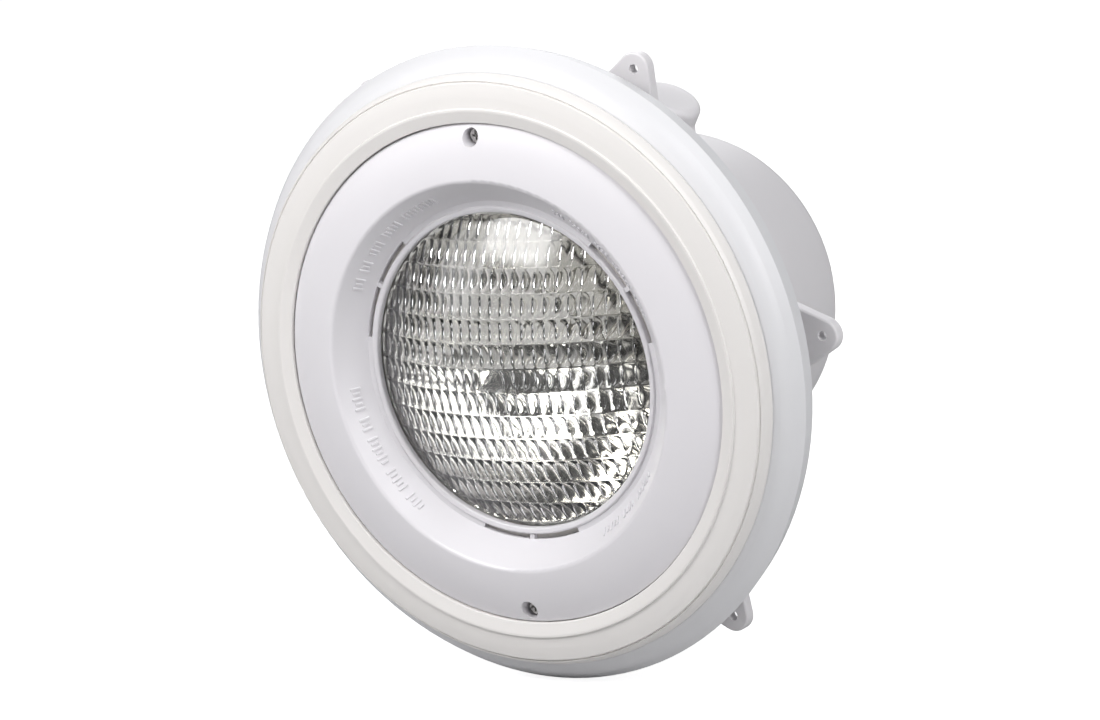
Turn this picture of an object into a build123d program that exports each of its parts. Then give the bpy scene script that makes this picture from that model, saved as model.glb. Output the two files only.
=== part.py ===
from build123d import *
from math import cos, radians, sin, sqrt
import os

# Underwater pool light: a sealed lamp in a bezel, held by two screws in a deep niche.
# The light looks along -Y, the niche runs back along +Y, and +Z is up.
# The origin is on the lamp's axis, at the back face of the niche's mounting ears.
# Outlines are given as (radius, depth) or (radius, depth, rounding), where the depth
# is measured back from the front face of the trim ring. Millimetres throughout.

EAR_BACK = 54.0                 # depth of the ears' back face, where Y is 0
GAP = 0.3                       # clearance between faces that only meet
WALL = 3.0                      # moulded wall

# Trim ring
TRIM_IN_R = 131.25
TRIM_FACE_IN_R = 138.0
TRIM_FACE_OUT_R = 151.4
TRIM_OUT_R = 155.3
TRIM_FOOT = 10.5                # depth of the ring's back edge
TRIM_WALL = 2.5
TRIM_LEGS = 12
TRIM_LEG_WIDTH = 16.0

# Clamp flange, the sloping skirt around the trim ring
CHANNEL_IN_R = 132.2            # inner face of the channel's inner wall
CHANNEL_OUT_R = 151.6           # inner face of the channel's outer wall
CHANNEL_FLOOR = 36.0
SKIRT_TOP = TRIM_FOOT + GAP
SKIRT_R = 167.2
SKIRT_EDGE = 22.6               # depth of the skirt's outer corner
SKIRT_BACK_R = 163.0
SKIRT_BACK = 35.0
CLAMP_FACE = 42.0               # depth of the face that presses the gaskets

# Gaskets, niche flange and niche
GASKET = 2.0
FLANGE_FACE = CLAMP_FACE + 2 * GASKET
FLANGE_R = 148.0
FLANGE_IN_R = 114.0
NICHE_FRONT_R = 120.0
NICHE_BACK_R = 82.0
NICHE_BACK = 211.0
NICHE_WALL = 3.5
NICHE_CORNER = 28.0

# Mounting ears
EAR_COUNT = 6
EAR_TURN = 4.3                  # angle of the first ear above +X
EAR_THICK = 6.0
EAR_CIRCLE_R = 165.0
EAR_HOLE_R = 2.6
EAR_ROUND = 8.6                 # radius of the tip, about the hole
EAR_TAPER = 27.0                # half angle of the ear's flanks
EAR_ROOT_R = 140.0

# Conduit boss on the niche's side
CONDUIT_ANGLE = 59.0
CONDUIT_DEPTH = 71.0
CONDUIT_R = 16.0
CONDUIT_END = 152.0             # radius from the lamp's axis of the closed end
CONDUIT_PAD = 106.5             # radius of the flat pad inside the niche
PORT_AT = 127.5                 # radius from the lamp's axis of the port
PORT_OUTER_R = 12.0
PORT_R = 9.3                    # thread's minor radius, 1/2 inch pipe
PORT_BACK = 89.5
PASSAGE_R = 7.0

# Screws and inserts
FLANGE_SCREWS = 12
FLANGE_SCREW_TURN = 15.0
FLANGE_SCREW_AT = 141.0
M5_R = 2.45
M5_HOLE_R = 2.75
M5_HEAD_R = 4.75
M5_HEAD = 3.0
FLANGE_INSERT_R = 3.5
FLANGE_INSERT_TOP = 47.0
FLANGE_INSERT_END = 58.0
FLANGE_BOSS_R = 6.0
BEZEL_SCREW_AT = 124.0
BEZEL_INSERT_R = 4.0
BEZEL_INSERT_TOP = 54.0
BEZEL_INSERT_END = 68.0
BEZEL_BOSS_R = 7.0
THREAD_R = 2.55                 # bore of every M5 insert
BLIND = 2.0                     # closed end of a blind boss

# Bezel
BEZEL_R = 130.8
BEZEL_EDGE = 3.7                # depth of its outer corner
BEZEL_SKIRT = 9.5               # depth of its rim's back edge
LIP_R = 102.0
LIP = -3.8
CONE_IN_R = 89.2
CONE_END = 11.6
BEAD_OUT_R = 86.4
APERTURE_R = 83.0
SEAT = 14.5                     # depth of the face that the lens gasket meets
POCKET_R = 90.5
POCKET_WALL_R = 94.0
SLOT_ARC = 18.5                 # degrees, one slot of a pair
SLOT_RIB = 1.6                  # degrees, the rib between the two
SLOT_PAIRS = 3
RIBS = 24
HEAD_BORE_R = 4.8
HEAD_SEAT = 10.5
SHANK_BORE_R = 2.9
TUNNEL_R = 6.0

# Bezel screws
BEZEL_HEAD_R = 4.2
BEZEL_HEAD_TOP = 6.5
WASHER = 1.0
WASHER_R = 4.3
WASHER_IN_R = 2.75

# Sealed lamp, 7 inch parabolic
RIM_R = 89.0
RIM_TOP = 16.0
RIM_JOINT = 19.0
RIM_BACK = 22.0
LENS_APEX = -11.5
LENS_SPHERE_R = 144.0
LENS_CROWN_R = 84.0
LENS_WALL = 4.0
BOWL_R = 80.0
BOWL_VERTEX = 80.3
BOWL_FOCAL_4 = 121.0            # four times the focal length
BOWL_OUTER_R = 84.5
BOWL_OUTER_FOCAL_4 = 125.5
BOWL_GLASS = 4.0
NECK_R = 24.0
NECK_BACK = 85.0
FILAMENT_DEPTH = 50.0
FILAMENT_R = 1.8
FILAMENT_LENGTH = 18.0
POST_R = 1.2
FERRULE_AT = 14.0
FERRULE_R = 7.0
FERRULE_BACK = 89.0

# Casing behind the lamp
CASING_FACE = 24.0
CASING_FLANGE_R = 104.5
CASING_FLANGE_BACK = 27.5
CASING_BACK = 113.0
CASING_TAIL_R = 48.0
CASING_HUB_R = 17.0
CASING_HUB_BACK = 118.0
CASING_SCREWS = 6
CASING_SCREW_AT = 98.5
CASING_BOSS_R = 4.7
M4_R = 1.95
M4_HOLE_R = 2.2
M4_HEAD_R = 3.8
M4_HEAD = 2.6
M4_INSERT_R = 3.0
M4_INSERT_TOP = 14.0

# Cable glands, used on the casing and inside the niche
GLAND_THREAD_R = 10.0
GLAND_BORE_R = 10.1
GLAND_THREAD = 10.0
GLAND_HEX = 25.0                # across flats
GLAND_HEX_THICK = 5.0
GLAND_WASHER = 1.5
GLAND_NOSE_R = 9.0
GLAND_NOSE = 11.0
GLAND_CABLE_R = 5.2
GLAND_NUT_R = 12.0
GLAND_NUT = 13.0


def at_depth(depth):
    """Y of a depth measured back from the trim ring's front face."""
    return depth - EAR_BACK


def polar(radius, angle):
    """X and Z at a radius from the lamp's axis, the angle from +X towards +Z."""
    return radius * cos(radians(angle)), radius * sin(radians(angle))


def turned(*corners):
    """A ring turned about the lamp's axis from a closed outline."""
    points = [(corner[0], at_depth(corner[1])) for corner in corners]
    rounds = [corner[2] if len(corner) > 2 else 0 for corner in corners]
    outline = FilletPolyline(*points, radius=rounds, close=True)
    return revolve(make_face(outline), Axis.Y)


def rod(radius, front, back, at=(0, 0)):
    """A cylinder along Y between two depths, centred at an (x, z)."""
    middle = (at[0], at_depth((front + back) / 2), at[1])
    return Pos(*middle) * Rot(90, 0, 0) * Cylinder(radius, back - front)


def tube(outer, inner, front, back, at=(0, 0)):
    """A plain round tube along Y."""
    return rod(outer, front, back, at) - rod(inner, front, back, at)


def block(width, height, front, back, radius, angle):
    """A box along Y whose height runs radially, its middle at a radius and angle."""
    box = Box(height, back - front, width)
    return Rot(0, -angle, 0) * Pos(radius, at_depth((front + back) / 2), 0) * box


def around(count, first, radius):
    """Places on a circle about the lamp's axis, as (x, z)."""
    return [polar(radius, first + k * 360 / count) for k in range(count)]


def screw(head_r, head, shank_r, top, tip, at):
    """A cheese-head screw along Y with a crossed recess; top is the head's face."""
    body = rod(head_r, top, top + head, at)
    rim = body.edges().filter_by(GeomType.CIRCLE).group_by(Axis.Y)[0]
    body = fillet(rim, head * 0.3)
    body += rod(shank_r, top + head, tip, at)
    for turn in (0, 90):
        slot = Box(head_r * 1.2, head * 1.2, head_r * 0.25)
        body -= Pos(at[0], at_depth(top), at[1]) * Rot(0, turn, 0) * slot
    return body


def ear_outline():
    """A tapered ear with a round tip, in a plane whose Y runs outwards."""
    side = EAR_ROUND * cos(radians(EAR_TAPER))
    shoulder = EAR_CIRCLE_R + EAR_ROUND * sin(radians(EAR_TAPER))
    root = (EAR_CIRCLE_R - EAR_ROOT_R) * sin(radians(EAR_TAPER))
    spread = (EAR_ROUND + root) / cos(radians(EAR_TAPER))
    corners = [(-spread, EAR_ROOT_R), (spread, EAR_ROOT_R), (side, shoulder), (-side, shoulder)]
    return make_face(Polyline(*corners, close=True)) + Pos(0, EAR_CIRCLE_R) * Circle(EAR_ROUND)


def ear(angle):
    """One mounting ear, its front edge eased, at an angle about the lamp's axis."""
    solid = extrude(ear_outline(), EAR_THICK)
    front = solid.edges().group_by(Axis.Z)[-1]
    solid = fillet(front, 1.2)
    solid -= Pos(0, EAR_CIRCLE_R) * Cylinder(EAR_HOLE_R, 4 * EAR_THICK)
    upright = Plane(origin=(0, 0, 0), x_dir=(1, 0, 0), z_dir=(0, -1, 0)) * solid
    return Rot(0, 90 - angle, 0) * upright


def radial_rod(radius, inner, outer):
    """A cylinder on the conduit boss's own axis, between two radii."""
    solid = Pos((inner + outer) / 2, at_depth(CONDUIT_DEPTH), 0) * Rot(0, 90, 0)
    return Rot(0, -CONDUIT_ANGLE, 0) * solid * Cylinder(radius, outer - inner)


def conduit_boss():
    """The side boss: closed and rounded outside, with its port facing back."""
    stub = Cylinder(CONDUIT_R, CONDUIT_END - CONDUIT_PAD)
    stub = fillet(stub.edges().group_by(Axis.Z)[-1], 4)
    middle = (CONDUIT_END + CONDUIT_PAD) / 2
    stub = Pos(middle, at_depth(CONDUIT_DEPTH), 0) * Rot(0, 90, 0) * stub
    stub = Rot(0, -CONDUIT_ANGLE, 0) * stub
    port = polar(PORT_AT, CONDUIT_ANGLE)
    boss = stub + rod(PORT_OUTER_R, CONDUIT_DEPTH, PORT_BACK, port)
    boss -= radial_rod(GLAND_BORE_R, CONDUIT_PAD, CONDUIT_PAD + GLAND_THREAD + 1)
    boss -= radial_rod(PASSAGE_R, CONDUIT_PAD, PORT_AT)
    boss -= rod(PORT_R, CONDUIT_DEPTH - PASSAGE_R - 1, PORT_BACK, port)
    return boss


def niche_shell():
    """The bucket with its flange, six ears, screw bosses and conduit boss."""
    lip = FLANGE_FACE + 6
    inner_r = NICHE_FRONT_R - NICHE_WALL
    shell = turned(
        (FLANGE_IN_R, FLANGE_FACE),
        (FLANGE_R, FLANGE_FACE, 0.8),
        (FLANGE_R, EAR_BACK, 0.8),
        (NICHE_FRONT_R, EAR_BACK),
        (NICHE_BACK_R, NICHE_BACK, NICHE_CORNER),
        (0, NICHE_BACK),
        (0, NICHE_BACK - NICHE_WALL),
        (NICHE_BACK_R - NICHE_WALL, NICHE_BACK - NICHE_WALL, NICHE_CORNER - NICHE_WALL),
        (inner_r, EAR_BACK + 1),
        (FLANGE_IN_R, lip),
    )
    for k in range(EAR_COUNT):
        shell += ear(EAR_TURN + k * 360 / EAR_COUNT)
    for place in around(FLANGE_SCREWS, FLANGE_SCREW_TURN, FLANGE_SCREW_AT):
        shell += rod(FLANGE_BOSS_R, EAR_BACK - 1, FLANGE_INSERT_END + BLIND, place)
    for place in around(2, 90, BEZEL_SCREW_AT):
        shell += rod(BEZEL_BOSS_R, EAR_BACK - 1, BEZEL_INSERT_END + BLIND, place)
    shell -= radial_rod(PASSAGE_R, CONDUIT_PAD, PORT_AT)
    shell -= radial_rod(GLAND_BORE_R, CONDUIT_PAD, CONDUIT_PAD + GLAND_THREAD + 1)
    shell += conduit_boss()
    for place in around(FLANGE_SCREWS, FLANGE_SCREW_TURN, FLANGE_SCREW_AT):
        shell -= rod(FLANGE_INSERT_R, FLANGE_FACE, FLANGE_INSERT_END, place)
    for place in around(2, 90, BEZEL_SCREW_AT):
        shell -= rod(BEZEL_INSERT_R, FLANGE_FACE, BEZEL_INSERT_END, place)
    return shell


def insert_group(places, outer, bore, front, back):
    """Brass inserts of one size, one at each place."""
    return Compound([tube(outer, bore, front, back, place).solid() for place in places])


def flange_inserts():
    """Twelve inserts for the flange screws."""
    places = around(FLANGE_SCREWS, FLANGE_SCREW_TURN, FLANGE_SCREW_AT)
    return insert_group(places, FLANGE_INSERT_R, THREAD_R, FLANGE_INSERT_TOP, FLANGE_INSERT_END)


def bezel_inserts():
    """Two inserts for the bezel screws."""
    places = around(2, 90, BEZEL_SCREW_AT)
    return insert_group(places, BEZEL_INSERT_R, THREAD_R, BEZEL_INSERT_TOP, BEZEL_INSERT_END)


def flange_gasket(front):
    """A flat gasket of the niche flange, with a hole at each flange screw."""
    ring = tube(FLANGE_R - 2, CHANNEL_IN_R, front, front + GASKET)
    for place in around(FLANGE_SCREWS, FLANGE_SCREW_TURN, FLANGE_SCREW_AT):
        ring -= rod(M5_HOLE_R, front, front + GASKET, place)
    return ring


def clamp_flange():
    """The skirt: a sloping apron outside, a deep screw channel inside."""
    inner_wall_r = CHANNEL_IN_R + WALL
    outer_wall_r = CHANNEL_OUT_R + WALL
    ring = turned(
        (CHANNEL_IN_R, CLAMP_FACE),
        (CHANNEL_IN_R, SKIRT_TOP),
        (inner_wall_r, SKIRT_TOP),
        (inner_wall_r, CHANNEL_FLOOR, 1),
        (CHANNEL_OUT_R, CHANNEL_FLOOR, 1),
        (CHANNEL_OUT_R, SKIRT_TOP),
        (TRIM_OUT_R + 0.4, SKIRT_TOP, 3),
        (162.2, 14.2, 14),
        (SKIRT_R, SKIRT_EDGE, 0.7),
        (SKIRT_BACK_R + 0.9, SKIRT_BACK, 0.6),
        (SKIRT_BACK_R - 1.6, SKIRT_BACK, 0.6),
        (SKIRT_R - WALL, SKIRT_EDGE + 1.2, 1),
        (outer_wall_r + 4, 16.6, 8),
        (outer_wall_r, 16.0, 1.5),
        (outer_wall_r, CHANNEL_FLOOR - 1, 2),
        (FLANGE_R, CLAMP_FACE - 3, 1),
        (FLANGE_R, CLAMP_FACE, 0.6),
    )
    for place in around(FLANGE_SCREWS, FLANGE_SCREW_TURN, FLANGE_SCREW_AT):
        ring -= rod(M5_HOLE_R, CHANNEL_FLOOR, CLAMP_FACE, place)
    return ring


def flange_screws():
    """Twelve screws on the channel's floor."""
    top = CHANNEL_FLOOR - M5_HEAD
    places = around(FLANGE_SCREWS, FLANGE_SCREW_TURN, FLANGE_SCREW_AT)
    return Compound([
        screw(M5_HEAD_R, M5_HEAD, M5_R, top, FLANGE_INSERT_END - 1, place).solid()
        for place in places
    ])


def trim_ring():
    """The clip-on cover over the channel, with spring legs behind it."""
    ring = turned(
        (TRIM_OUT_R, TRIM_FOOT),
        (TRIM_OUT_R, TRIM_FOOT - 1.6, 0.6),
        (TRIM_FACE_OUT_R + 2.6, 5.4, 4),
        (TRIM_FACE_OUT_R + 1.1, 3.5, 0.3),
        (TRIM_FACE_OUT_R + 0.5, 4.3, 0.1),
        (TRIM_FACE_OUT_R, 2.8, 0.4),
        (146, 1.7, 30),
        (TRIM_FACE_IN_R + 1, 1.0, 0.2),
        (TRIM_FACE_IN_R + 0.6, 0, 0.3),
        (TRIM_FACE_IN_R - 0.6, 0, 0.8),
        (TRIM_IN_R, 2.0, 0.6),
        (TRIM_IN_R, TRIM_FOOT - 0.2),
        (TRIM_IN_R + TRIM_WALL, TRIM_FOOT - 0.2),
        (TRIM_IN_R + TRIM_WALL, 5.2),
        (TRIM_FACE_IN_R + 0.8, 3.0),
        (TRIM_FACE_OUT_R - 0.4, 6.0),
        (TRIM_OUT_R - TRIM_WALL, TRIM_FOOT),
    )
    for k in range(TRIM_LEGS):
        ring += block(TRIM_LEG_WIDTH, 2, 4.6, 26, CHANNEL_OUT_R - 1.7, k * 360 / TRIM_LEGS)
    return ring


def bezel_back_zone():
    """The room behind the bezel's skin that its ribs and bosses may fill."""
    return turned(
        (POCKET_R, CASING_FACE),
        (POCKET_R, SEAT),
        (LIP_R - 1, 0),
        (LIP_R + 4, -1.8),
        (BEZEL_R - 1, 4.9),
        (BEZEL_R - 1, CASING_FACE),
    )


def sector(inner, outer, front, back, start, sweep):
    """Part of a ring between two angles from +X towards +Z."""
    half = make_face(Polyline(
        (inner, at_depth(front)),
        (outer, at_depth(front)),
        (outer, at_depth(back)),
        (inner, at_depth(back)),
        close=True,
    ))
    return revolve(Rot(0, -start, 0) * half, Axis.Y, -sweep)


def bezel():
    """The face plate with its cone, bead, slots, ribs, bosses and screw tunnels."""
    skin = turned(
        (BEZEL_R, BEZEL_SKIRT),
        (BEZEL_R, BEZEL_EDGE, 0.8),
        (116.5, -2.0, 90),
        (LIP_R, LIP, 2.6),
        (CONE_IN_R, CONE_END, 0.3),
        (BEAD_OUT_R, CONE_END, 0.3),
        (BEAD_OUT_R, 10.4, 0.9),
        (APERTURE_R, 11.2, 1.2),
        (APERTURE_R, SEAT),
        (POCKET_R, SEAT),
        (POCKET_R, CASING_FACE),
        (POCKET_WALL_R, CASING_FACE),
        (POCKET_WALL_R, 9.8),
        (LIP_R + 2.6, -0.6, 2),
        (BEZEL_R - 2.5, 6.3),
        (BEZEL_R - 2.5, BEZEL_SKIRT),
    )
    supports = turned((POCKET_WALL_R, 20), (BEZEL_R - 3, 10), (BEZEL_R - 3, 0), (POCKET_WALL_R, 5))
    spokes = Part()
    for k in range(RIBS):
        spokes += block(1.8, 40, 0, 22, 112, (k + 0.5) * 360 / RIBS)
    backing = spokes & supports
    for place in around(CASING_SCREWS, 30, CASING_SCREW_AT):
        backing += rod(CASING_BOSS_R, 2, CASING_FACE, place)
    for place in around(2, 90, BEZEL_SCREW_AT):
        backing += rod(TUNNEL_R, 2, FLANGE_FACE - GAP, place)
    inside = bezel_back_zone() + tube(BEZEL_R - 0.4, BEZEL_SCREW_AT - TUNNEL_R - 1, 20, FLANGE_FACE)
    plate = skin + (backing & inside)
    for place in around(2, 90, BEZEL_SCREW_AT):
        plate -= rod(HEAD_BORE_R, -5, HEAD_SEAT, place)
        plate -= rod(SHANK_BORE_R, 0, FLANGE_FACE, place)
    for place in around(CASING_SCREWS, 30, CASING_SCREW_AT):
        plate -= rod(M4_INSERT_R, M4_INSERT_TOP, CASING_FACE, place)
    for k in range(SLOT_PAIRS):
        middle = -90 + k * 360 / SLOT_PAIRS
        for start in (middle + SLOT_RIB / 2, middle - SLOT_RIB / 2 - SLOT_ARC):
            plate -= sector(BEAD_OUT_R, CONE_IN_R, 10, 20, start, SLOT_ARC)
    return plate


def bezel_screw(angle):
    """A long screw that holds the bezel to the niche."""
    place = polar(BEZEL_SCREW_AT, angle)
    head = HEAD_SEAT - WASHER - BEZEL_HEAD_TOP
    return screw(BEZEL_HEAD_R, head, M5_R, BEZEL_HEAD_TOP, BEZEL_INSERT_END - 1, place)


def bezel_washer(angle):
    """The washer under a bezel screw's head."""
    place = polar(BEZEL_SCREW_AT, angle)
    return tube(WASHER_R, WASHER_IN_R, HEAD_SEAT - WASHER, HEAD_SEAT, place)


def lens_gasket():
    """The flat silicone ring between the bezel's seat and the lens."""
    return tube(RIM_R, LENS_CROWN_R + 0.3, SEAT, RIM_TOP)


def sphere_arc(radius, apex, reach):
    """Outline of a dome from the axis out to a radius."""
    def place(r):
        return r, at_depth(apex + radius - sqrt(radius**2 - r**2))
    return ThreePointArc(place(0), place(reach / 2), place(reach))


def lamp_lens():
    """The domed front glass of the sealed lamp."""
    front = sphere_arc(LENS_SPHERE_R, LENS_APEX, LENS_CROWN_R)
    back = sphere_arc(LENS_SPHERE_R - LENS_WALL, LENS_APEX + LENS_WALL, BOWL_R)
    rim = Polyline(
        front @ 1,
        (LENS_CROWN_R, at_depth(RIM_TOP)),
        (RIM_R, at_depth(RIM_TOP)),
        (RIM_R, at_depth(RIM_JOINT)),
        (BOWL_R, at_depth(RIM_JOINT)),
        back @ 1,
    )
    axis = Line(back @ 0, front @ 0)
    return revolve(make_face([front, rim, back, axis]), Axis.Y)


def parabola(vertex, focal_4, reach):
    """Outline of a bowl from the axis out to a radius."""
    radii = [reach * k / 8 for k in range(9)]
    return Spline(*[(r, at_depth(vertex - r**2 / focal_4)) for r in radii])


def lamp_reflector():
    """The mirrored glass bowl, with a flat neck behind."""
    inner = parabola(BOWL_VERTEX, BOWL_FOCAL_4, BOWL_R)
    outer = parabola(BOWL_VERTEX + BOWL_GLASS, BOWL_OUTER_FOCAL_4, BOWL_OUTER_R)
    rim = Polyline(
        inner @ 1,
        (BOWL_R, at_depth(RIM_JOINT)),
        (RIM_R, at_depth(RIM_JOINT)),
        (RIM_R, at_depth(RIM_BACK)),
        (BOWL_OUTER_R, at_depth(RIM_BACK)),
        outer @ 1,
    )
    axis = Line(outer @ 0, inner @ 0)
    bowl = revolve(make_face([inner, rim, outer, axis]), Axis.Y)
    bowl += rod(NECK_R, BOWL_VERTEX, NECK_BACK)
    for side in (-1, 1):
        bowl -= rod(POST_R, FILAMENT_DEPTH, NECK_BACK, (side * FILAMENT_LENGTH / 2, 0))
    return bowl


def filament():
    """The coiled filament's envelope, across the focus."""
    return Pos(0, at_depth(FILAMENT_DEPTH), 0) * Rot(0, 90, 0) * Cylinder(
        FILAMENT_R, FILAMENT_LENGTH - 2 * POST_R)


def filament_posts():
    """Two lead posts from the neck to the filament's ends."""
    return Compound([
        rod(POST_R, FILAMENT_DEPTH - 3, NECK_BACK, (side * FILAMENT_LENGTH / 2, 0)).solid()
        for side in (-1, 1)
    ])


def lamp_ferrules():
    """Two metal ferrules on the lamp's neck."""
    return Compound([
        tube(FERRULE_R, M4_R, NECK_BACK, FERRULE_BACK, (side * FERRULE_AT, 0)).solid()
        for side in (-1, 1)
    ])


def terminal_screws():
    """The two screws that hold the cable's cores."""
    top = FERRULE_BACK + 1.2
    screws = []
    for side in (-1, 1):
        place = (side * FERRULE_AT, 0)
        solid = rod(M4_HEAD_R, top, top + M4_HEAD, place) + rod(M4_R, NECK_BACK, top, place)
        slot = Box(2 * M4_HEAD_R, 2, 0.9)
        solid -= Pos(place[0], at_depth(top + M4_HEAD), 0) * slot
        screws.append(solid.solid())
    return Compound(screws)


def casing_gasket():
    """The ring between the lamp's rim and the casing."""
    return tube(RIM_R, BOWL_OUTER_R + 1, RIM_BACK, CASING_FACE)


def lamp_casing():
    """The dry housing behind the lamp."""
    inner_r = BOWL_OUTER_R + 1.5
    tail_r = CASING_TAIL_R - WALL
    shell = turned(
        (inner_r, CASING_FACE),
        (CASING_FLANGE_R, CASING_FACE, 0.5),
        (CASING_FLANGE_R, CASING_FLANGE_BACK, 0.5),
        (inner_r + WALL + 0.5, CASING_FLANGE_BACK, 1),
        (inner_r + WALL, 44, 8),
        (66.5, 78.5, 12),
        (CASING_TAIL_R, 92.5, 6),
        (CASING_TAIL_R, CASING_BACK, 5),
        (CASING_HUB_R, CASING_BACK, 1),
        (CASING_HUB_R, CASING_HUB_BACK, 0.8),
        (GLAND_BORE_R, CASING_HUB_BACK),
        (GLAND_BORE_R, CASING_BACK - WALL),
        (tail_r, CASING_BACK - WALL, 3),
        (tail_r, 91, 4),
        (64, 76.5, 10),
        (inner_r, 43, 6),
    )
    for place in around(CASING_SCREWS, 30, CASING_SCREW_AT):
        shell -= rod(M4_HOLE_R, CASING_FACE, CASING_FLANGE_BACK, place)
    return shell


def casing_inserts():
    """Six brass inserts in the bezel's bosses."""
    places = around(CASING_SCREWS, 30, CASING_SCREW_AT)
    return insert_group(places, M4_INSERT_R, M4_R + 0.05, M4_INSERT_TOP, CASING_FACE - 0.5)


def casing_screws():
    """Six screws that hold the casing to the bezel, their heads to the back."""
    back = CASING_FLANGE_BACK + M4_HEAD
    screws = []
    for place in around(CASING_SCREWS, 30, CASING_SCREW_AT):
        solid = rod(M4_HEAD_R, CASING_FLANGE_BACK, back, place)
        solid += rod(M4_R, M4_INSERT_TOP + 1, CASING_FLANGE_BACK, place)
        for turn in (0, 90):
            slot = Rot(0, turn, 0) * Box(M4_HEAD_R * 1.2, M4_HEAD, 0.9)
            solid -= Pos(place[0], at_depth(back), place[1]) * slot
        screws.append(solid.solid())
    return Compound(screws)


def gland_parts():
    """Washer, body, seal and nut of a cable gland that stands on a face at Z 0."""
    hex_top = GLAND_WASHER + GLAND_HEX_THICK
    nose_top = hex_top + GLAND_NOSE
    nut_base = hex_top + 1
    washer = extrude(Circle(GLAND_HEX / 2) - Circle(GLAND_THREAD_R + 0.1), GLAND_WASHER)
    body = Pos(0, 0, GLAND_WASHER) * extrude(RegularPolygon(GLAND_HEX / 2, 6, False), GLAND_HEX_THICK)
    body += Pos(0, 0, -GLAND_THREAD) * extrude(Circle(GLAND_THREAD_R), GLAND_THREAD + GLAND_WASHER)
    body += Pos(0, 0, hex_top) * extrude(Circle(GLAND_NOSE_R), GLAND_NOSE)
    body -= Pos(0, 0, -GLAND_THREAD) * extrude(Circle(GLAND_CABLE_R), nose_top + GLAND_THREAD)
    pocket = Circle(GLAND_NOSE_R - 2)
    body -= Pos(0, 0, nose_top - 7) * extrude(pocket, 7)
    seal = Pos(0, 0, nose_top - 7) * extrude(pocket - Circle(GLAND_CABLE_R - 1), 8)
    nut = Pos(0, 0, nut_base) * extrude(RegularPolygon(GLAND_NUT_R, 6, False), GLAND_NUT)
    crown = nut.edges().group_by(Axis.Z)[-1]
    nut = chamfer(crown, 1.5)
    nut -= Pos(0, 0, nut_base) * extrude(Circle(GLAND_NOSE_R + 0.1), nose_top + 1 - nut_base)
    nut -= Pos(0, 0, nut_base) * extrude(Circle(GLAND_CABLE_R), GLAND_NUT)
    return {"washer": washer, "body": body, "seal": seal, "nut": nut}


def conduit_gland_plane():
    """Plane on the boss's inner pad, facing the lamp's axis."""
    x, z = polar(1, CONDUIT_ANGLE)
    origin = (x * CONDUIT_PAD, at_depth(CONDUIT_DEPTH), z * CONDUIT_PAD)
    return Plane(origin=origin, x_dir=(0, 1, 0), z_dir=(-x, 0, -z))


def cable_gland_plane():
    """Plane on the back of the casing's hub, facing back."""
    return Plane(origin=(0, at_depth(CASING_HUB_BACK), 0), x_dir=(1, 0, 0), z_dir=(0, 1, 0))


def nodes():
    """Every sub-part by its node name."""
    parts = {
        "niche_shell": niche_shell(),
        "rear_flange_gasket": flange_gasket(CLAMP_FACE + GASKET),
        "front_flange_gasket": flange_gasket(CLAMP_FACE),
        "clamp_flange": clamp_flange(),
        "flange_screws": flange_screws(),
        "flange_inserts": flange_inserts(),
        "bezel_inserts": bezel_inserts(),
        "trim_ring": trim_ring(),
        "bezel": bezel(),
        "lens_gasket": lens_gasket(),
        "lamp_lens": lamp_lens(),
        "lamp_reflector": lamp_reflector(),
        "filament": filament(),
        "filament_posts": filament_posts(),
        "lamp_ferrules": lamp_ferrules(),
        "terminal_screws": terminal_screws(),
        "casing_gasket": casing_gasket(),
        "lamp_casing": lamp_casing(),
        "casing_inserts": casing_inserts(),
        "casing_screws": casing_screws(),
    }
    for side, angle in (("top", 90), ("bottom", -90)):
        parts[f"bezel_screw_{side}"] = bezel_screw(angle)
        parts[f"bezel_washer_{side}"] = bezel_washer(angle)
    for name, plane in (("conduit_gland", conduit_gland_plane()), ("cable_gland", cable_gland_plane())):
        for piece, shape in gland_parts().items():
            parts[f"{name}_{piece}"] = plane * shape
    return parts


os.makedirs("parts", exist_ok=True)
for name, shape in nodes().items():
    export_step(shape, f"parts/{name}.step")
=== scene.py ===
import bpy
import bmesh
import math
from mathutils import Matrix, Vector


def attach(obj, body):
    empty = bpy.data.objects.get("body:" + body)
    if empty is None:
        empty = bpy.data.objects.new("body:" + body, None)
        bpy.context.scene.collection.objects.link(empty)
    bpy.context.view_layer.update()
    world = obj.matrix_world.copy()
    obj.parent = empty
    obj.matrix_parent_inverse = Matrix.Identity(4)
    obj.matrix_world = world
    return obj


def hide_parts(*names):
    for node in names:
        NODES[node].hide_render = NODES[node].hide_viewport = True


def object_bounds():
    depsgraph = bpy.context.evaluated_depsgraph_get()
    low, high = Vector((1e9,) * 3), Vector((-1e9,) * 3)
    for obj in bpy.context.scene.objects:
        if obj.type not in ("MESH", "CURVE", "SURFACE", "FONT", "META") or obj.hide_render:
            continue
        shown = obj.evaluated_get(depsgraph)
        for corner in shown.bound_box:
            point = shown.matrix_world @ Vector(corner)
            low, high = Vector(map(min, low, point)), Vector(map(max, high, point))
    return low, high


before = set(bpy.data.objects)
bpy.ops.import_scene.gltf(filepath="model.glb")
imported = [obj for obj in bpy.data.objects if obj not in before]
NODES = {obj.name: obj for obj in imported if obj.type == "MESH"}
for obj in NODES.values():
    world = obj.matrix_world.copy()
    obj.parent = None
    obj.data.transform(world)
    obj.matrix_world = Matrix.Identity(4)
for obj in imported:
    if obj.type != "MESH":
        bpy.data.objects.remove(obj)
CAD_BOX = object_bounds()

MM = 0.001
EAR_BACK = 54.0                # mm from the trim ring's front face to the ears' back, where Y is 0

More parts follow.
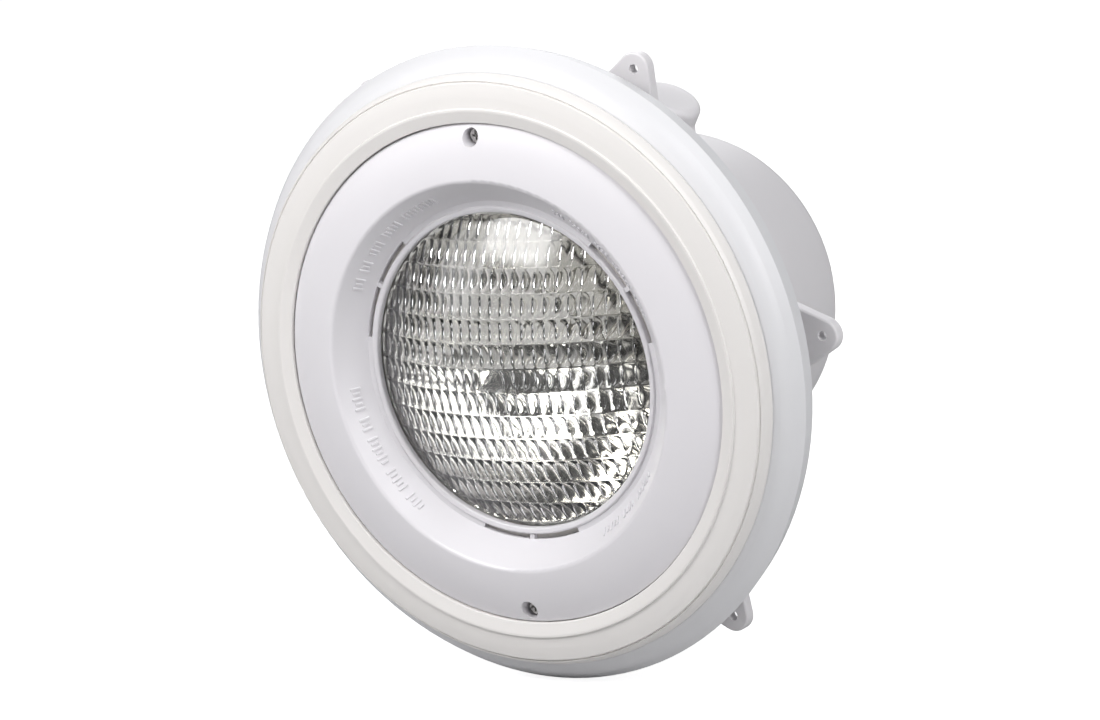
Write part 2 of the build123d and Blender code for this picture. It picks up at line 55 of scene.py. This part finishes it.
# Camera: its stand, seen from the middle of the trim ring's front, in degrees and metres
AZIMUTH = 34.73
ELEVATION = 12.40
ROLL = -7.03
DISTANCE = 2.5
SHIFT_RIGHT = 0.02595
SHIFT_UP = 0.00847
CLIP_END = 60
FOCAL = 160.9                  # mm
SENSOR = 36.0                  # mm

# Floor, metres
FLOOR_HALF = 14
FLOOR_GAP = 0.0005             # between it and the object's lowest point
FLOOR_COLOUR = (0.50, 0.50, 0.50)
FLOOR_SHADE = (0.48, 0.48, 0.485)
FLOOR_WASH = 0.86              # glow that only the camera sees

# Room light. Its directions go from -1 to 1, from low to high and from front to back.
ROOM_TINT = (0.97, 0.98, 1.0)
ROOM_LOW = 0.14                # strength from LOW_END down
ROOM_HIGH = 0.6                # strength from HIGH_START up
LOW_END = -0.3
HIGH_START = 0.9
FRONT_SHARE = 0.15             # share of that strength in front of FRONT_END
FRONT_END = -0.6
BACK_START = 0.5               # all of it comes from behind this

# Softboxes: how a panel dims towards its edges, as parts of its strength and of its width
PANEL_GLOW = 1.4
PANEL_EDGE = 0.05
PANEL_FADE = 0.28
PANEL_MIDDLE = 0.5

NEUTRAL = (1.0, 0.995, 1.0)
WARM = (1.0, 0.99, 0.99)
COOL = (0.98, 0.985, 1.0)

# Name, place, target, width and height, watts, colour
SOFTBOXES = (
    ("key", (-0.34, -0.74, 0.80), (0, -0.05, 0.03), (0.85, 0.62), 8.6, WARM),
    ("side", (-1.2, -0.95, 0.75), (0, 0, 0), (0.9, 1.2), 3.8, COOL),
    ("right", (1.6, -0.6, 0.6), (0, 0, 0), (0.8, 1.2), 11.5, NEUTRAL),
    ("top_right", (0.9, -0.5, 1.2), (0.05, 0, 0.05), (1.0, 0.8), 6.0, COOL),
    ("back", (-0.7, 1.5, 0.9), (0, 0.05, 0), (1.2, 1.0), 7.0, COOL),
)

# Bezel's cone, mm: the ends of its slope as radius and depth
CONE_OUT_R = 102.0
CONE_START = -3.8
CONE_IN_R = 89.2
CONE_END = 11.6

# Ticks on the cone, mm
TICK_W = 1.3
TICK_RISE = 0.7
TICK_SINK = 0.25               # how far a tick reaches into the bezel
TICK_START = 7.4               # from the cone's outer edge, down the slope
TICK_LENGTH = 5.6
TICK_TRIM = 0.9                # every second tick is shorter by this at both ends
TICK_SHOULDER = 0.12           # a tick's rounded top edge: its height, then its inset at foot and top
SHOULDER_FOOT = 0.04
SHOULDER_TOP = 0.16
TICK_PITCH = 2.7
TICK_GAP = 3.0                 # extra room between two groups
TICK_R = 95.0                  # mean radius of the ticks

# Arcs of ticks: the angle in degrees where one starts, and the ticks in each of its groups
TICK_ARCS = (
    (108, (9, 5, 4, 3, 3)),
    (186, (5, 3, 6, 5, 4)),
    (-58, (5, 4, 6)),
    (20, (5, 6, 4, 5, 3)),
)

# Lamp lens, mm
LENS_SPHERE_R = 144.0
LENS_APEX = -11.5
LENS_CROWN_R = 84.0
LENS_WALL = 4.0
LENS_RIM_R = 89.0
LENS_RIM_FRONT = 16.0
LENS_RIM_BACK = 19.0
LENS_RIM_STEP = 0.6            # from the crown's edge out to the flat of the rim
LENS_RIM_CHAMFER = 0.4
LENS_CELL = 0.5
LENS_MARGIN = 0.2              # the grid of cells ends this far inside the crown

# Pillows on its inner face, mm
PILLOW_W = 6.0
PILLOW_H = 12.3
PILLOW_ROW_RISE = 0.35         # arch that a whole row has
PILLOW_RISE = 1.75             # what each pillow adds in its middle
PILLOW_FADE = 2.0              # width of the plain edge, and of the fade into it
NUB_R = 6.5
NUB_RISE = 1.6
STIPPLE_RISE = 0.12
STIPPLE_TURN = 6.3             # radians for each mm across the nub


def depth_y(depth):
    """Y in metres of a depth in mm behind the trim ring's front face."""
    return (depth - EAR_BACK) * MM


def at_angle(radius, angle, depth):
    """A point by its radius and depth in mm and its angle in radians."""
    return Vector((radius * math.cos(angle) * MM, depth_y(depth), radius * math.sin(angle) * MM))


# ---------------------------------------------------------------- node trees

class Tree:
    """A short way to build the node tree of a material, a light or the world."""

    def __init__(self, tree):
        self.tree = tree

    def add(self, kind, **settings):
        node = self.tree.nodes.new(kind)
        for key, value in settings.items():
            setattr(node, key, value)
        return node

    def link(self, source, target):
        self.tree.links.new(source, target)

    def ramp(self, source, low, high, start=0.3, end=0.7, **settings):
        node = self.add("ShaderNodeMapRange", **settings)
        node.inputs["From Min"].default_value = start
        node.inputs["From Max"].default_value = end
        node.inputs["To Min"].default_value = low
        node.inputs["To Max"].default_value = high
        self.link(source, node.inputs["Value"])
        return node.outputs["Result"]

    def multiply(self, first, second):
        node = self.add("ShaderNodeMath", operation="MULTIPLY")
        self.link(first, node.inputs[0])
        self.link(second, node.inputs[1])
        return node.outputs[0]

    def for_camera(self, seen, lit):
        """One shader for what the camera sees, another for what lights the object."""
        path = self.add("ShaderNodeLightPath")
        pick = self.add("ShaderNodeMixShader")
        self.link(path.outputs["Is Camera Ray"], pick.inputs["Fac"])
        self.link(lit, pick.inputs[1])
        self.link(seen, pick.inputs[2])
        return pick.outputs[0]


class Material(Tree):
    """A Principled material. Noise scales are per metre, and lengths are in mm."""

    def __init__(self, name):
        self.mat = bpy.data.materials.new(name)
        self.mat.use_nodes = True
        super().__init__(self.mat.node_tree)
        self.shader = self.tree.nodes["Principled BSDF"]
        self.coord = self.add("ShaderNodeTexCoord").outputs["Object"]

    def noise(self, scale, detail=3.0, rough=0.55, stretch=None):
        node = self.add("ShaderNodeTexNoise")
        node.inputs["Scale"].default_value = scale
        node.inputs["Detail"].default_value = detail
        node.inputs["Roughness"].default_value = rough
        place = self.coord
        if stretch:
            mapping = self.add("ShaderNodeMapping")
            mapping.inputs["Scale"].default_value = stretch
            self.link(self.coord, mapping.inputs["Vector"])
            place = mapping.outputs["Vector"]
        self.link(place, node.inputs["Vector"])
        return node.outputs["Fac"]

    def mix(self, factor, first, second):
        node = self.add("ShaderNodeMix", data_type="RGBA")
        self.link(factor, node.inputs["Factor"])
        colour_a, colour_b = node.inputs[6], node.inputs[7]
        for value, socket in ((first, colour_a), (second, colour_b)):
            if isinstance(value, bpy.types.NodeSocket):
                self.link(value, socket)
            else:
                socket.default_value = (*value, 1)
        return node.outputs[2]

    def bump(self, height, distance, strength, after=None):
        node = self.add("ShaderNodeBump")
        node.inputs["Distance"].default_value = distance * MM
        node.inputs["Strength"].default_value = strength
        self.link(height, node.inputs["Height"])
        if after:
            self.link(after, node.inputs["Normal"])
        return node.outputs["Normal"]

    def cavity(self, distance):
        node = self.add("ShaderNodeAmbientOcclusion", samples=4)
        node.inputs["Distance"].default_value = distance * MM
        return node.outputs["AO"]

    def set(self, **values):
        for key, value in values.items():
            socket = self.shader.inputs[key.replace("_", " ")]
            if isinstance(value, bpy.types.NodeSocket):
                self.link(value, socket)
            elif socket.type == "RGBA":
                socket.default_value = (*value, 1)
            else:
                socket.default_value = value


# ---------------------------------------------------------------- materials

RECESS_SHADE = (0.16, 0.135, 0.12)    # painted shade: the dark colour given to gaps and recesses
SHADE_REACH = 5                # mm, the size of the gaps that get the painted shade
TOOL_LINES = (1, 14, 1)        # turned metal's noise, squeezed along its axis


def plastic(name, colour, shade, rough, grain):
    """Moulded plastic: a faint cloudy tint, a fine satin grain, uneven gloss, and painted shade in gaps
    and recesses.
    """
    m = Material(name)
    cloud = m.ramp(m.noise(9, detail=2, rough=0.4), 0, 1, start=0.2, end=0.8)
    clean = m.mix(cloud, colour, shade)
    # painted shade: where ambient occlusion finds a recess, the colour turns towards a dark brown,
    # mottled by fine noise
    shade_mottle = m.ramp(m.noise(700, detail=4, rough=0.7), 0, 0.35, start=0.45, end=0.8)
    mottled_shade = m.mix(shade_mottle, clean, RECESS_SHADE)
    unshaded = m.ramp(m.cavity(SHADE_REACH), 0, 1, start=0.12, end=0.5)
    gloss = m.ramp(m.noise(40, rough=0.5), rough - 0.03, rough + 0.05, start=0.2, end=0.8)
    peel = m.bump(m.noise(260, detail=2), 0.02, strength=0.4)
    fine = m.bump(m.noise(1900, rough=0.7), grain, strength=0.6, after=peel)
    m.set(Base_Color=m.mix(unshaded, mottled_shade, clean), Roughness=gloss, Normal=fine)
    m.set(Specular_IOR_Level=0.5, IOR=1.5)
    return m.mat


def rubber(name, colour, shade):
    """Soft moulded rubber with a dusty bloom."""
    m = Material(name)
    bloom = m.ramp(m.noise(90, detail=6, rough=0.65), 0, 1, start=0.45)
    grain = m.bump(m.noise(1200, detail=4, rough=0.7), 0.06, strength=0.6)
    m.set(Base_Color=m.mix(bloom, colour, shade), Normal=grain)
    m.set(Roughness=m.ramp(m.noise(300, detail=4), 0.6, 0.8))
    return m.mat


def metal(name, colour, shade, rough):
    """Turned metal: fine tool lines, a little tarnish."""
    m = Material(name)
    stain = m.ramp(m.noise(120, detail=5, rough=0.6), 0, 1, start=0.4, end=0.75)
    lines = m.bump(m.noise(900, detail=2, rough=0.6, stretch=TOOL_LINES), 0.03, strength=0.5)
    m.set(Base_Color=m.mix(stain, colour, shade), Metallic=1.0, Normal=lines)
    m.set(Roughness=m.ramp(m.noise(500, detail=4), rough - 0.06, rough + 0.1))
    return m.mat


def glass(name, colour):
    """Pressed lamp glass, clear with a faint warm cast."""
    m = Material(name)
    m.set(Base_Color=colour, IOR=1.47, Transmission_Weight=1.0, Coat_Weight=0.3)
    m.set(Roughness=m.ramp(m.noise(40), 0.0, 0.03))
    m.set(Normal=m.bump(m.noise(420, rough=0.6), 0.02, strength=0.4))
    return m.mat


def mirror(name, colour, shade):
    """The lamp's aluminised bowl, slightly rippled."""
    m = Material(name)
    haze = m.ramp(m.noise(30, detail=4), 0, 1, start=0.4, end=0.8)
    m.set(Base_Color=m.mix(haze, colour, shade), Metallic=1.0)
    m.set(Roughness=m.ramp(m.noise(80), 0.03, 0.10))
    m.set(Normal=m.bump(m.noise(60), 0.2, strength=0.3))
    return m.mat


# Material of each CAD slot: its kind, its colour and second tint, its roughness, a plastic's grain
LOOKS = {
    "niche_plastic": (plastic, (0.73, 0.715, 0.73), (0.71, 0.695, 0.71), 0.42, 0.03),
    "flange_plastic": (plastic, (0.725, 0.725, 0.74), (0.71, 0.71, 0.725), 0.38, 0.01),
    "bezel_plastic": (plastic, (0.755, 0.74, 0.765), (0.74, 0.725, 0.75), 0.32, 0.02),
    "trim_plastic": (plastic, (0.785, 0.765, 0.745), (0.77, 0.75, 0.73), 0.38, 0.03),
    "casing_plastic": (plastic, (0.10, 0.10, 0.11), (0.13, 0.13, 0.14), 0.45, 0.06),
    "gland_plastic": (plastic, (0.06, 0.06, 0.065), (0.09, 0.09, 0.09), 0.5, 0.05),
    "gasket_rubber": (rubber, (0.035, 0.035, 0.037), (0.07, 0.07, 0.07)),
    "seal_rubber": (rubber, (0.03, 0.03, 0.03), (0.06, 0.06, 0.06)),
    "silicone": (rubber, (0.55, 0.53, 0.50), (0.62, 0.60, 0.57)),
    "brass": (metal, (0.80, 0.58, 0.27), (0.62, 0.43, 0.20), 0.30),
    "stainless": (metal, (0.62, 0.61, 0.59), (0.48, 0.47, 0.45), 0.26),
    "lamp_metal": (metal, (0.66, 0.64, 0.60), (0.50, 0.48, 0.45), 0.35),
    "lens_glass": (glass, (0.985, 0.985, 0.975)),
    "reflector_mirror": (mirror, (0.88, 0.87, 0.84), (0.71, 0.70, 0.66)),
}
MATERIALS = {name: kind(name, *look) for name, (kind, *look) in LOOKS.items()}

for node in NODES.values():
    slot = node.data.materials[0].name.split(".")[0]
    node.data.materials.clear()
    node.data.materials.append(MATERIALS[slot])


# ---------------------------------------------------------------- mesh tools

def place_in_scene(name, data):
    obj = bpy.data.objects.new(name, data)
    bpy.context.scene.collection.objects.link(obj)
    return obj


def new_object(name, bm, material, sharp=None):
    """An object from a bmesh, flat or else smooth up to edges of so many degrees."""
    bmesh.ops.recalc_face_normals(bm, faces=bm.faces)
    mesh = bpy.data.meshes.new(name)
    bm.to_mesh(mesh)
    bm.free()
    mesh.materials.append(material)
    if sharp:
        mesh.shade_smooth()
        mesh.set_sharp_from_angle(angle=math.radians(sharp))
    return place_in_scene(name, mesh)


def bridge(bm, rows):
    """Quads between closed rows of equal length."""
    for low, high in zip(rows, rows[1:]):
        for k in range(len(low)):
            n = (k + 1) % len(low)
            bm.faces.new([low[k], low[n], high[n], high[k]])


# ---------------------------------------------------------------- lamp lens

def crown(r):
    """Depth in mm of the lens's outer dome at a radius."""
    return LENS_APEX + LENS_SPHERE_R - math.sqrt(LENS_SPHERE_R ** 2 - r * r)


def arch(place, pitch):
    """A row of arches one pitch wide, each from 0 up to 1 and back. One is centred on 0."""
    turns = place / pitch + 0.5
    offset = 2 * (turns - math.floor(turns)) - 1
    return 1 - offset * offset


def pillow(x, z):
    """How far a pillow, or the nub in the middle, stands in from the dome's inner face, in mm."""
    r = math.hypot(x, z)
    if r < NUB_R:
        return NUB_RISE + STIPPLE_RISE * math.sin(x * STIPPLE_TURN) * math.sin(z * STIPPLE_TURN)
    across = arch(x, PILLOW_W)
    along = arch(z, PILLOW_H)
    fade = min(1.0, max(0.0, (LENS_CROWN_R - PILLOW_FADE - r) / PILLOW_FADE))
    return (PILLOW_ROW_RISE * along + PILLOW_RISE * across * along) * fade


def lens_cells():
    """Squares of a grid whose four corners lie inside the crown, as tuples of corner keys."""
    count = int(LENS_CROWN_R / LENS_CELL) + 1
    cells = []
    for i in range(-count, count):
        for j in range(-count, count):
            corners = ((i, j), (i + 1, j), (i + 1, j + 1), (i, j + 1))
            reach = max(math.hypot(*c) for c in corners) * LENS_CELL
            if reach < LENS_CROWN_R - LENS_MARGIN:
                cells.append(corners)
    return cells


def outline_loop(cells):
    """The edge of the grid, walked once round."""
    edges = set()
    for corners in cells:
        for k in range(4):
            a, b = corners[k], corners[(k + 1) % 4]
            if (b, a) in edges:
                edges.remove((b, a))
            else:
                edges.add((a, b))
    follow = dict(edges)
    loop = [min(follow)]
    while follow[loop[-1]] != loop[0]:
        loop.append(follow[loop[-1]])
    return loop


def rim_row(bm, loop, radius, depth):
    """One circle of the rim, with a point in the direction of each key of the loop."""
    return [bm.verts.new(at_angle(radius, math.atan2(j, i), depth)) for i, j in loop]


def make_lens():
    """The pressed glass: a smooth dome outside, rows of prismatic pillows inside."""
    bm = bmesh.new()
    cells = lens_cells()
    outer, inner = {}, {}
    for key in sorted({c for corners in cells for c in corners}):
        x, z = key[0] * LENS_CELL, key[1] * LENS_CELL
        front = crown(math.hypot(x, z))
        back = min(front + LENS_WALL + pillow(x, z), LENS_RIM_BACK)
        outer[key] = bm.verts.new((x * MM, depth_y(front), z * MM))
        inner[key] = bm.verts.new((x * MM, depth_y(back), z * MM))
    for corners in cells:
        bm.faces.new([outer[c] for c in corners])
        bm.faces.new([inner[c] for c in reversed(corners)])
    loop = outline_loop(cells)
    profile = (
        (LENS_CROWN_R, crown(LENS_CROWN_R)),
        (LENS_CROWN_R + LENS_RIM_STEP, LENS_RIM_FRONT),
        (LENS_RIM_R - LENS_RIM_CHAMFER, LENS_RIM_FRONT),
        (LENS_RIM_R, LENS_RIM_FRONT + LENS_RIM_CHAMFER),
        (LENS_RIM_R, LENS_RIM_BACK),
    )
    rim = [rim_row(bm, loop, radius, depth) for radius, depth in profile]
    bridge(bm, [[outer[k] for k in loop], *rim, [inner[k] for k in loop]])
    lens = new_object("lens_prismatic", bm, MATERIALS["lens_glass"], sharp=60)
    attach(lens, "lamp_unit")
    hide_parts("lamp_lens")


make_lens()


# ---------------------------------------------------------------- ticks on the cone

def cone_point(along, angle, lift):
    """A point on the bezel's cone: along from its outer edge inwards, lift above it, in mm."""
    slope = Vector((CONE_IN_R - CONE_OUT_R, CONE_END - CONE_START)).normalized()
    radius = CONE_OUT_R + slope[0] * along - slope[1] * lift
    depth = CONE_START + slope[1] * along + slope[0] * lift
    return at_angle(radius, angle, depth)


def add_tick(bm, angle, start, length):
    """One raised tick with tapered sides, its long way running down the cone."""
    profile = (
        (-TICK_SINK, 0.0),
        (TICK_RISE - TICK_SHOULDER, SHOULDER_FOOT),
        (TICK_RISE, SHOULDER_TOP),
    )
    rows = []
    for lift, inset in profile:
        near, far = start + inset, start + length - inset
        half = (TICK_W / 2 - inset) / TICK_R
        corners = ((near, -half), (near, half), (far, half), (far, -half))
        rows.append([bm.verts.new(cone_point(along, angle + turn, lift)) for along, turn in corners])
    bm.faces.new(rows[0])
    bm.faces.new(rows[-1])
    bridge(bm, rows)


def make_ticks():
    """Groups of plain raised ticks round the cone."""
    bm = bmesh.new()
    for first, counts in TICK_ARCS:
        angle = math.radians(first)
        for count in counts:
            for k in range(count):
                cut = TICK_TRIM * (k % 2)
                add_tick(bm, angle, TICK_START + cut, TICK_LENGTH - 2 * cut)
                angle += TICK_PITCH / TICK_R
            angle += TICK_GAP / TICK_R
    ticks = new_object("cone_ticks", bm, MATERIALS["bezel_plastic"], sharp=30)
    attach(ticks, "lamp_unit")


make_ticks()


# ---------------------------------------------------------------- stage

def make_floor():
    """A plain white floor just under the object, washed out so that it melts into the room."""
    m = Material("floor_white")
    m.set(Base_Color=m.mix(m.noise(1.2), FLOOR_COLOUR, FLOOR_SHADE))
    m.set(Roughness=m.ramp(m.noise(9, detail=4), 0.7, 0.85))
    m.set(Normal=m.bump(m.noise(400), 0.2, strength=0.2))
    plain = m.shader.outputs[0]
    glow = m.add("ShaderNodeEmission")
    glow.inputs["Strength"].default_value = FLOOR_WASH
    washed = m.add("ShaderNodeAddShader")
    m.link(plain, washed.inputs[0])
    m.link(glow.outputs[0], washed.inputs[1])
    surface = m.for_camera(washed.outputs[0], plain)
    m.link(surface, m.tree.nodes["Material Output"].inputs["Surface"])
    bm = bmesh.new()
    bmesh.ops.create_grid(bm, x_segments=2, y_segments=2, size=FLOOR_HALF)
    floor = new_object("floor", bm, m.mat)
    floor.location = (0, 0, CAD_BOX[0].z - FLOOR_GAP)


def make_camera():
    """A long lens, a little above the object and to its right, held at a slight roll."""
    a, e, roll = (math.radians(v) for v in (AZIMUTH, ELEVATION, ROLL))
    back = Vector((math.sin(a) * math.cos(e), -math.cos(a) * math.cos(e), math.sin(e)))
    right = (-back).cross(Vector((0, 0, 1))).normalized()
    up = right.cross(-back)
    held_right = right * math.cos(roll) + up * math.sin(roll)
    held_up = -right * math.sin(roll) + up * math.cos(roll)
    data = bpy.data.cameras.new("camera")
    data.lens = FOCAL
    data.sensor_width = SENSOR
    data.clip_end = CLIP_END
    camera = place_in_scene("camera", data)
    place = Vector((0, depth_y(0), 0)) + held_right * SHIFT_RIGHT + held_up * SHIFT_UP + back * DISTANCE
    turn = Matrix((held_right, held_up, back)).transposed().to_4x4()
    camera.matrix_world = Matrix.Translation(place) @ turn
    bpy.context.scene.camera = camera


def soften(data):
    """Dims a softbox's panel towards its edges, as its cloth does."""
    data.use_nodes = True
    t = Tree(data.node_tree)
    split = t.add("ShaderNodeSeparateXYZ")
    t.link(t.add("ShaderNodeNewGeometry").outputs["Parametric"], split.inputs[0])
    fades = []
    for axis in ("X", "Y"):
        inset = t.add("ShaderNodeMath", operation="PINGPONG")
        inset.inputs[1].default_value = PANEL_MIDDLE
        t.link(split.outputs[axis], inset.inputs[0])
        fades.append(t.ramp(inset.outputs[0], PANEL_EDGE, PANEL_GLOW, start=0, end=PANEL_FADE,
                            interpolation_type="SMOOTHSTEP"))
    t.link(t.multiply(*fades), t.tree.nodes["Emission"].inputs["Strength"])


def softbox(name, place, target, size, power, colour):
    data = bpy.data.lights.new(name, "AREA")
    data.shape = "RECTANGLE"
    data.size, data.size_y = size
    data.energy = power
    data.color = colour
    soften(data)
    light = place_in_scene(name, data)
    light.location = place
    aim = Vector(target) - Vector(place)
    light.rotation_mode = "QUATERNION"
    light.rotation_quaternion = aim.to_track_quat("-Z", "Y")


def make_world():
    """A white room to the camera; the light it gives is stronger from above and from behind."""
    world = bpy.data.worlds.new("studio")
    world.use_nodes = True
    t = Tree(world.node_tree)
    split = t.add("ShaderNodeSeparateXYZ")
    t.link(t.add("ShaderNodeTexCoord").outputs["Generated"], split.inputs[0])
    height = t.ramp(split.outputs["Z"], ROOM_LOW, ROOM_HIGH, start=LOW_END, end=HIGH_START)
    behind = t.ramp(split.outputs["Y"], FRONT_SHARE, 1.0, start=FRONT_END, end=BACK_START)
    room = t.tree.nodes["Background"]
    room.inputs["Color"].default_value = (*ROOM_TINT, 1)
    t.link(t.multiply(height, behind), room.inputs["Strength"])
    white = t.add("ShaderNodeBackground")
    white.inputs["Color"].default_value = (1, 1, 1, 1)
    surface = t.for_camera(white.outputs[0], room.outputs[0])
    t.link(surface, t.tree.nodes["World Output"].inputs["Surface"])
    bpy.context.scene.world = world


make_floor()
make_camera()
make_world()
for box in SOFTBOXES:
    softbox(*box)
bpy.context.scene.view_settings.view_transform = "Standard"
